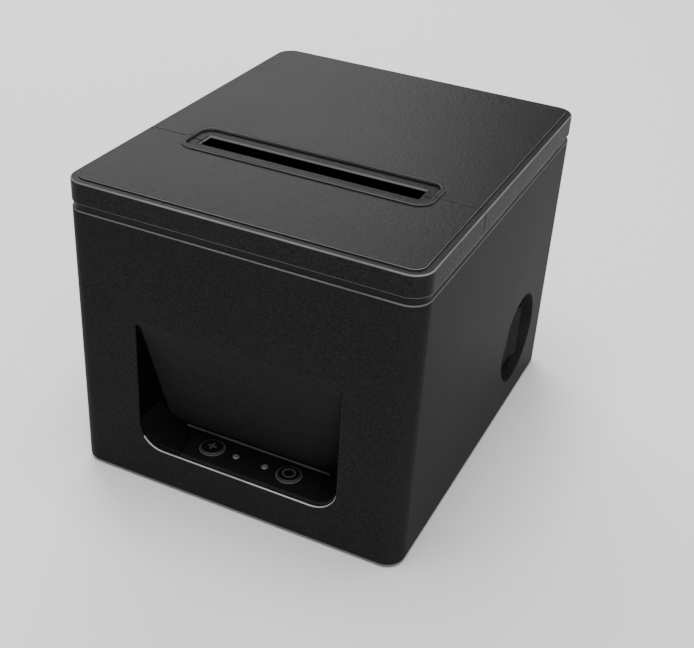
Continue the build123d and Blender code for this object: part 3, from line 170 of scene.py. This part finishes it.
# ---- Materials ---------------------------------------------------------------------
def grained_plastic(
    name, colour, roughness, grain=0.45 * MM, depth=0.03 * MM, specular=0.5, highlight_rims=(), painted_shade_ranges=()
):
    """Moulded plastic with a spark-eroded grain, dust specks, painted highlights on rim ranges and painted
    shade in hollows.
    """
    paint = Paint(name)
    fine = paint.noise(grain, 2.0, 0.6)
    pits = paint.cells(grain * 2.2)
    cloud = paint.noise(28 * MM, 3.0, 0.55)
    base = paint.mix(paint.span(fine, 0.0, 1.0, 0.35, 0.68), shade(colour, 0.6), shade(colour, 1.5))
    tone = paint.mix(paint.span(cloud, 0.0, 0.25, 0.3, 0.7), base, shade(colour, 1.15))
    dust = paint.span(paint.cells(5.5 * MM), 0.5, 0.0, 0.0, 0.018)
    tone = paint.mix(dust, tone, shade(colour, 4.0))
    # painted shade: each listed hollow is darkened to a fifth of the colour
    for shade_zone in painted_shade_ranges:
        tone = paint.mix(paint.within(shade_zone), tone, shade(colour, 0.2))
    # painted highlights on the rim ranges, varied by the cloud noise
    paint.colour(paint.paint_rim_highlights(tone, highlight_rims, cloud))
    handled = paint.span(cloud, -0.01, 0.01, 0.3, 0.7)
    wear = paint.math("ADD", handled, paint.span(fine, -0.08, 0.08, 0.3, 0.7))
    paint.roughness(paint.math("ADD", wear, roughness))
    paint.bump(fine, depth)
    paint.bump(pits, depth * 0.7)
    return paint.set(Specular_IOR_Level=specular).mat


def smooth_plastic(name, colour, roughness, specular=0.5, highlight_rims=()):
    """Plastic from a finer mould: a trace of orange peel, handling marks, painted highlights on rim ranges.
    """
    paint = Paint(name)
    peel = paint.noise(1.6 * MM, 2.0)
    marks = paint.noise(9 * MM, 4.0, 0.7, paint.stretch((1.0, 0.35, 1.0)))
    tone = paint.mix(paint.span(marks, 0.0, 1.0, 0.3, 0.7), shade(colour, 0.85), shade(colour, 1.18))
    # painted highlights on the rim ranges, varied by the handling marks
    paint.colour(paint.paint_rim_highlights(tone, highlight_rims, marks))
    paint.roughness(paint.span(marks, roughness - 0.07, roughness + 0.09, 0.3, 0.7))
    paint.bump(peel, 0.006 * MM)
    paint.bump(paint.noise(0.25 * MM, 1.0), 0.006 * MM)
    return paint.set(Specular_IOR_Level=specular).mat


def clear_plastic(name):
    """Frosted clear light pipe."""
    paint = Paint(name)
    haze = paint.noise(0.9 * MM, 3.0)
    paint.colour(paint.mix(haze, (0.16, 0.17, 0.17), (0.3, 0.31, 0.3)))
    paint.roughness(paint.span(haze, 0.12, 0.34, 0.3, 0.7))
    paint.bump(haze, 0.01 * MM)
    return paint.set(Transmission_Weight=0.35, IOR=1.49).mat


def rubber(name, colour, roughness):
    """Matt rubber with a powdery surface."""
    paint = Paint(name)
    bloom = paint.noise(3.0 * MM, 4.0, 0.65)
    paint.colour(paint.mix(paint.span(bloom, 0.0, 1.0, 0.35, 0.7), shade(colour, 0.7), shade(colour, 1.8)))
    paint.roughness(paint.span(bloom, roughness - 0.08, roughness + 0.08, 0.3, 0.7))
    paint.bump(paint.noise(0.3 * MM, 2.0), 0.02 * MM)
    return paint.set(Specular_IOR_Level=0.3).mat


def ground_rubber(name):
    """Platen rubber, ground round its length, with a trace of paper dust."""
    paint = Paint(name)
    rings = paint.noise(0.5 * MM, 2.0, 0.5, paint.stretch((1.0, 0.05, 0.05)))
    dust = paint.noise(1.2 * MM, 3.0, 0.6)
    rubber_tone = paint.mix(rings, (0.022, 0.022, 0.024), (0.045, 0.045, 0.047))
    paint.colour(paint.mix(paint.span(dust, 0.0, 0.12, 0.52, 0.75), rubber_tone, (0.3, 0.3, 0.29)))
    paint.roughness(paint.span(rings, 0.55, 0.75))
    paint.bump(rings, 0.015 * MM)
    return paint.mat


def metal(name, colour, roughness, lines=(1.0, 0.04, 1.0), pitch=0.25 * MM, stain=0.1):
    """Metal with fine drawn lines and slight staining."""
    paint = Paint(name)
    drawn = paint.noise(pitch, 3.0, 0.6, paint.stretch(lines))
    cloud = paint.noise(14 * MM, 4.0, 0.6)
    tone = paint.mix(paint.span(drawn, 0.0, 1.0, 0.3, 0.7), shade(colour, 0.86), shade(colour, 1.06))
    paint.colour(paint.mix(paint.span(cloud, 0.0, stain * 4, 0.45, 0.75), tone, shade(colour, 0.6)))
    soft = paint.span(cloud, roughness - 0.05, roughness + 0.1, 0.3, 0.7)
    paint.roughness(paint.math("ADD", soft, paint.span(drawn, -0.05, 0.05, 0.3, 0.7)))
    paint.bump(drawn, 0.006 * MM)
    return paint.set(Metallic=1.0).mat


def zinc_sheet(name):
    """Zinc-plated sheet with a faint spangle."""
    paint = Paint(name)
    spangle = paint.cells(3.2 * MM)
    cloud = paint.noise(1.2 * MM, 4.0, 0.65)
    paint.colour(paint.mix(paint.span(spangle, 0.0, 1.0, 0.1, 0.7), (0.5, 0.51, 0.52), (0.66, 0.66, 0.65)))
    paint.roughness(paint.math("ADD", paint.span(spangle, 0.3, 0.42, 0.1, 0.7), paint.span(cloud, 0.0, 0.08)))
    paint.bump(cloud, 0.008 * MM)
    return paint.set(Metallic=1.0).mat


def circuit_board(name):
    """Green lacquered board with tracks under the lacquer."""
    paint = Paint(name)
    across = paint.waves(1.3 * MM, "X", 2.0)
    along = paint.waves(1.9 * MM, "Y", 2.5)
    patch = paint.span(paint.noise(11 * MM, 2.0), 0.0, 1.0, 0.47, 0.53)
    tracks = paint.mix(patch, (0.0, 0.0, 0.0), (1.0, 1.0, 1.0))
    lines = paint.tree.nodes.new("ShaderNodeMix")
    paint.link(tracks, lines.inputs["Factor"])
    paint.link(across, lines.inputs["A"])
    paint.link(along, lines.inputs["B"])
    raised = paint.span(lines.outputs["Result"], 0.0, 1.0, 0.55, 0.66)
    paint.colour(paint.mix(raised, (0.008, 0.055, 0.026), (0.016, 0.11, 0.045)))
    paint.roughness(paint.span(paint.noise(4 * MM, 3.0), 0.22, 0.38, 0.3, 0.7))
    paint.bump(raised, 0.03 * MM)
    return paint.mat


def ceramic(name):
    """Glazed ceramic of the print head."""
    paint = Paint(name)
    haze = paint.noise(2.5 * MM, 3.0)
    paint.colour(paint.mix(haze, (0.62, 0.58, 0.5), (0.74, 0.7, 0.62)))
    paint.roughness(paint.span(haze, 0.12, 0.25, 0.3, 0.7))
    paint.bump(paint.noise(0.4 * MM, 2.0), 0.004 * MM)
    return paint.mat


def film(name):
    """Polyimide ribbon with its row of conductors."""
    paint = Paint(name)
    lines = paint.span(paint.waves(1.0 * MM, "X"), 0.0, 1.0, 0.4, 0.6)
    paint.colour(paint.mix(lines, (0.3, 0.13, 0.025), (0.52, 0.26, 0.06)))
    paint.roughness(paint.span(paint.noise(6 * MM, 3.0), 0.25, 0.4, 0.3, 0.7))
    paint.bump(lines, 0.03 * MM)
    return paint.mat


CHARCOAL = (0.014, 0.014, 0.0138)
COVER_GRAIN = 0.7 * MM
COVER_RELIEF = 0.07 * MM
FINE_GRAIN = 0.35 * MM
FINE_RELIEF = 0.018 * MM
# painted highlights as (grey, ranges) and painted shade as ranges, each range (axis, low, high) in
# millimetres
# painted highlights: the casing's top edge and the front edges round the control recess
CASING_HIGHLIGHT_RIMS = (
    (0.15, (("Z", 103.6, 104.1),)),
    (0.5, (("Y", -76.76, -76.3), ("X", -36.5, 41.2), ("Z", 15.0, 24.0))),
    (0.07, (("Y", -76.76, -76.3), ("X", 36.0, 41.2), ("Z", 24.0, 64.0))),
)
# painted shade on the left wall of the control recess
LEFT_WALL_PAINTED_SHADE = ((("X", -40.0, -36.2), ("Y", -76.2, -56.0), ("Z", 14.0, 69.0)),)
# painted highlights on the cover's edges, on the bead and on the rear edge of the paper slot
COVER_HIGHLIGHT_RIMS = (
    (0.11, (("Z", 106.3, 106.75),)),
    (0.18, (("Z", 113.85, 114.36),)),
    (0.2, (("Z", 114.7, 114.97),)),
    (0.13, (("Z", 115.2, 115.64),)),
    (0.14, (("Z", 113.8, 114.55), ("X", -42.4, 42.4), ("Y", -21.7, -20.6))),
)
# painted shade in the paper slot, in the step round the top panel and beside the slot's bead
PAINTED_SHADE_HOLLOWS = (
    (("X", -41.5, 41.5), ("Y", -29.4, -21.3), ("Z", 106.0, 113.9)),
    (("Z", 114.43, 114.69),),
    (("Z", 114.66, 115.16), ("X", -45.7, 45.7), ("Y", -34.0, -16.6)),
    (("Z", 114.66, 115.16), ("X", -41.3, 41.3), ("Y", -36.1, -35.7)),
)
# painted highlights on the control panel's raised ring and rear ridge
PANEL_HIGHLIGHT_RIMS = ((0.09, (("Z", 17.4, 17.85), ("X", -31.0, 30.3))),)
# painted highlights on the button edges
BUTTON_HIGHLIGHT_RIMS = (
    (0.07, (("Z", 17.72, 18.12), ("Y", -73.0, -62.0))),
    (0.08, (("Z", 18.3, 18.6), ("Y", -73.0, -62.0))),
)
casing = grained_plastic(
    "casing_plastic", CHARCOAL, 0.42, specular=0.014, highlight_rims=CASING_HIGHLIGHT_RIMS, painted_shade_ranges=LEFT_WALL_PAINTED_SHADE
)
cover = grained_plastic(
    "cover_plastic", CHARCOAL, 0.4, COVER_GRAIN, COVER_RELIEF, 0.03, COVER_HIGHLIGHT_RIMS, PAINTED_SHADE_HOLLOWS
)
panel = grained_plastic(
    "panel_plastic", shade(CHARCOAL, 0.6), 0.4, FINE_GRAIN, FINE_RELIEF, 0.1, PANEL_HIGHLIGHT_RIMS
)
# darker than the panel tone: painted shade for the dim left end of the control recess
key = grained_plastic("key_plastic", shade(CHARCOAL, 0.5), 0.4, FINE_GRAIN, FINE_RELIEF, 0.05)
trim = smooth_plastic("frame_plastic", shade(CHARCOAL, 0.5), 0.42, 0.1)
inner = smooth_plastic("inner_plastic", (0.02, 0.02, 0.021), 0.55, 0.3)
button = smooth_plastic("button_plastic", shade(CHARCOAL, 0.4), 0.35, 0.1, BUTTON_HIGHLIGHT_RIMS)
switch = smooth_plastic("switch_plastic", shade(CHARCOAL, 0.7), 0.45, 0.02)
chip = grained_plastic("chip_plastic", (0.02, 0.02, 0.021), 0.6, 0.3 * MM, 0.012 * MM)
white = smooth_plastic("white_plastic", (0.72, 0.71, 0.67), 0.42)
clear = clear_plastic("clear_plastic")
foot = rubber("foot_rubber", (0.02, 0.02, 0.02), 0.8)
roller = ground_rubber("roller_rubber")
steel = metal("steel", (0.55, 0.55, 0.56), 0.28)
blade = metal("blade_steel", (0.62, 0.62, 0.63), 0.18, (0.04, 1.0, 1.0))
sheet = zinc_sheet("sheet_steel")
alloy = metal("sink_aluminium", (0.74, 0.75, 0.76), 0.34, (0.03, 1.0, 1.0), 0.4 * MM)
brass = metal("brass", (0.7, 0.5, 0.18), 0.3)
board = circuit_board("board")
glaze = ceramic("ceramic")
ribbon = film("film")

BY_SLOT = {
    "casing_plastic": casing,
    "frame_plastic": trim,
    "inner_plastic": inner,
    "button_plastic": button,
    "clear_plastic": clear,
    "white_plastic": white,
    "foot_rubber": foot,
    "roller_rubber": roller,
    "steel": steel,
    "blade_steel": blade,
    "sheet_steel": sheet,
    "sink_aluminium": alloy,
    "brass": brass,
    "ceramic": glaze,
    "board": board,
    "chip_plastic": chip,
    "film": ribbon,
}
OWN = {
    "control_panel": panel,
    "release_key": key,
    "front_top_cover": cover,
    "lid_cover": cover,
    "switch_body": switch,
    "switch_rocker": switch,
}

for subpart in frame["record"]["subparts"]:
    name = subpart["node"]
    data = nodes[name].data
    data.materials.clear()
    data.materials.append(OWN.get(name, BY_SLOT[subpart["material_slot"]]))


# ---- Stage: floor, lights and camera -------------------------------------------------
# from the middle of the floor to its edge
FLOOR_REACH = 8.0


def floor():
    """Wide pale floor under the feet."""
    mesh = bpy.data.meshes.new("floor")
    form = bmesh.new()
    bmesh.ops.create_grid(form, x_segments=2, y_segments=2, size=FLOOR_REACH)
    form.to_mesh(mesh)
    form.free()
    plane = bpy.data.objects.new("floor", mesh)
    bpy.context.scene.collection.objects.link(plane)
    paint = Paint("floor_paper")
    paint.colour(paint.mix(paint.noise(0.3, 2.0), (0.86, 0.86, 0.86), (0.9, 0.9, 0.9)))
    paint.set(Roughness=0.9, Specular_IOR_Level=0.1)
    mesh.materials.append(paint.mat)


def softbox(name, place, aim, size, power):
    """Rectangular area light turned towards a point."""
    lamp = bpy.data.lights.new(name, "AREA")
    lamp.shape = "RECTANGLE"
    lamp.size, lamp.size_y = size
    lamp.energy = power
    light = bpy.data.objects.new(name, lamp)
    light.location = place
    light.rotation_euler = (Vector(aim) - Vector(place)).to_track_quat("-Z", "Y").to_euler()
    bpy.context.scene.collection.objects.link(light)


def sky(strength):
    """Even white surroundings."""
    world = bpy.data.worlds.new("studio")
    world.use_nodes = True
    world.node_tree.nodes["Background"].inputs["Color"].default_value = (1.0, 1.0, 1.0, 1.0)
    world.node_tree.nodes["Background"].inputs["Strength"].default_value = strength
    bpy.context.scene.world = world


AZIMUTH = radians(23.68)
ELEVATION = radians(31.98)
ROLL = radians(-3.67)
DISTANCE = 3.4656 * WIDTH
SIDE_STEP = 0.0367 * WIDTH
DROP = 0.1354 * WIDTH
AIM_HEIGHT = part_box("main_casing")[0][2] + 0.445 * WIDTH
# in millimetres, as the camera's own settings are
SENSOR = 36.0
LENS = 60.31


def camera():
    """Camera at the height and turn of a close three-quarter view from the right."""
    back = Vector((sin(AZIMUTH) * cos(ELEVATION), -cos(AZIMUTH) * cos(ELEVATION), sin(ELEVATION)))
    right = (-back).cross(Vector((0, 0, 1))).normalized()
    down = (-back).cross(right)
    across = right * cos(ROLL) + down * sin(ROLL)
    below = down * cos(ROLL) - right * sin(ROLL)
    place = Vector((0, 0, AIM_HEIGHT)) + across * SIDE_STEP + below * DROP + back * DISTANCE
    data = bpy.data.cameras.new("camera")
    data.sensor_width = SENSOR
    data.lens = LENS
    data.clip_start = 0.01
    lens = bpy.data.objects.new("camera", data)
    turn = Matrix((across, -below, back)).transposed()
    lens.matrix_world = Matrix.Translation(place) @ turn.to_4x4()
    bpy.context.scene.collection.objects.link(lens)
    bpy.context.scene.camera = lens


floor()
sky(0.24)
softbox("back_box", (-0.75, 0.95, 0.85), (0.0, 0.0, 0.1), (1.0, 0.6), 15.0)
softbox("top_box", (0.0, -0.1, 1.5), (0.0, 0.0, 0.0), (1.0, 1.0), 27.0)
softbox("front_box", (0.9, -1.1, 0.25), (0.0, 0.0, 0.05), (0.6, 0.4), 10.0)
camera()
